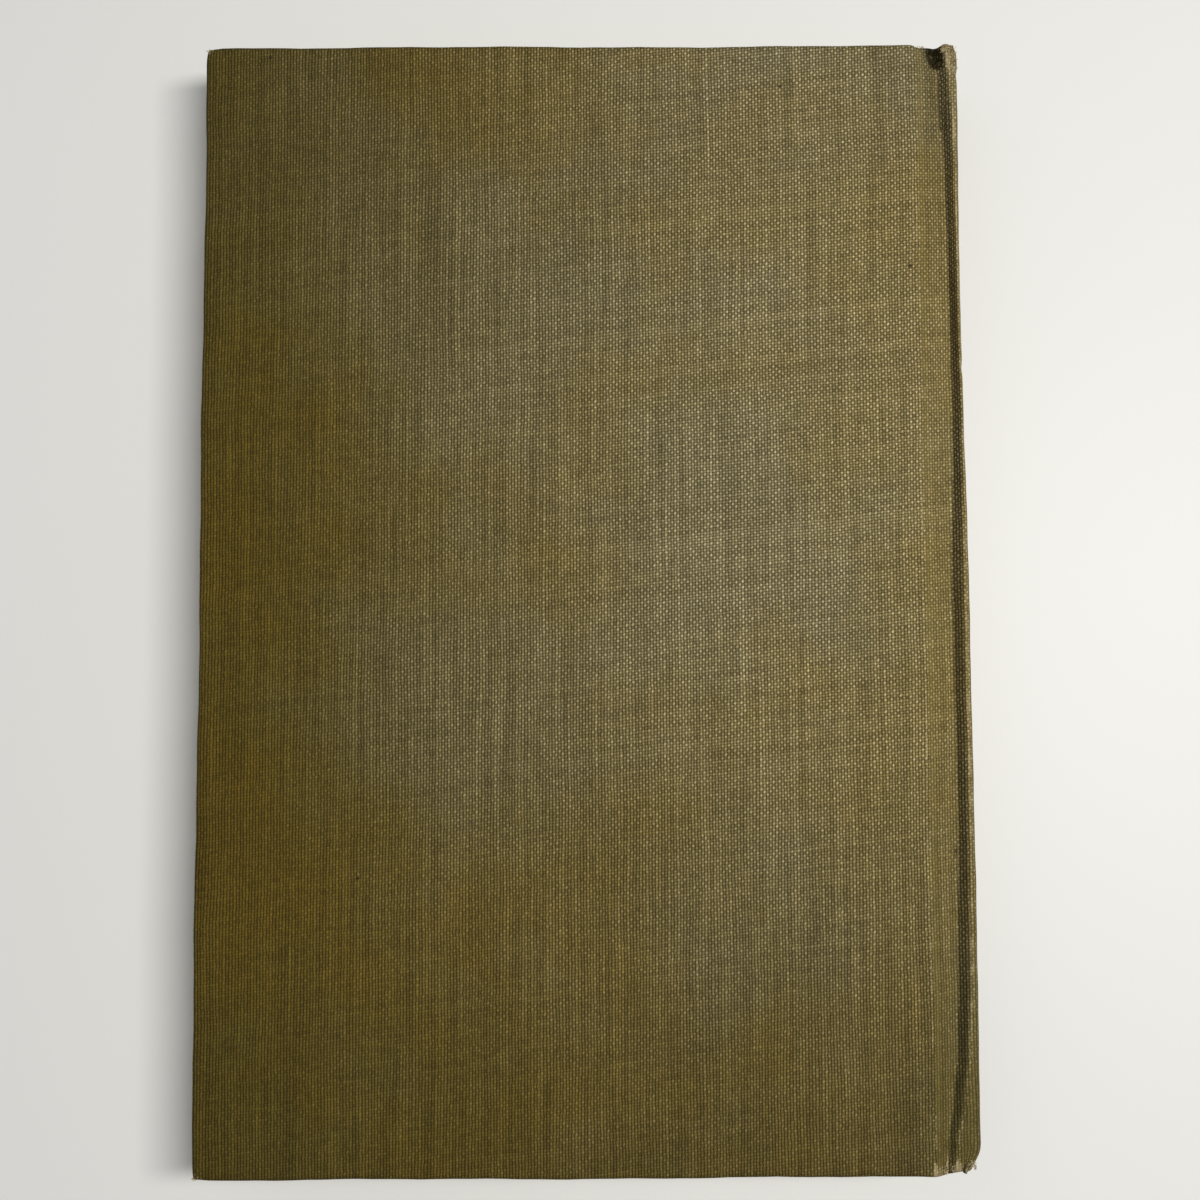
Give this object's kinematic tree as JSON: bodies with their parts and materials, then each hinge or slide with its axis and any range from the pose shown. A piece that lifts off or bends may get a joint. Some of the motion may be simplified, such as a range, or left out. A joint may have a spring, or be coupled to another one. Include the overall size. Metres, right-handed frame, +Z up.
{
  "type": "hardback book",
  "caption": "Closed cloth-bound hardback book lying flat, with stiff boards, grooved joints, a hollow spine and a page block; both covers open on hinges.",
  "frame": {"origin": "middle of the book's outer box, on the face it rests on, which is the outside of the front cover", "axes": "+Z up through the closed book, +Y towards the head of the book, +X towards the spine"},
  "size_m": [0.1348, 0.197, 0.018],
  "materials": {
    "cloth": "olive brown plain-weave book cloth, worn pale at its edges",
    "board": "grey-brown millboard",
    "pages": "aged cream page edges",
    "endpaper": "aged cream endpaper",
    "mull": "open starched mull",
    "spine_card": "thin card",
    "lining_paper": "brown paper"
  },
  "bodies": {
    "pages": {"text_block": "pages", "back_flyleaf": "endpaper", "front_flyleaf": "endpaper", "spine_mull": "mull", "spine_lining_paper": "lining_paper", "spine_cloth": "cloth", "spine_inlay": "spine_card"},
    "back_cover": {"back_board": "board", "back_cover_cloth": "cloth", "back_mull_flange": "mull", "back_pastedown": "endpaper"},
    "front_cover": {"front_board": "board", "front_cover_cloth": "cloth", "front_mull_flange": "mull", "front_pastedown": "endpaper"}
  },
  "joints": [
    {"name": "back_cover_hinge", "type": "hinge", "parent": "pages", "child": "back_cover", "pos_m": [0.06417, 0, 0.01455], "axis": [0, 1, 0], "range_deg": [0, 180]},
    {"name": "front_cover_hinge", "type": "hinge", "parent": "pages", "child": "front_cover", "pos_m": [0.06417, 0, 0.00345], "axis": [0, -1, 0], "range_deg": [0, 180]}
  ]
}
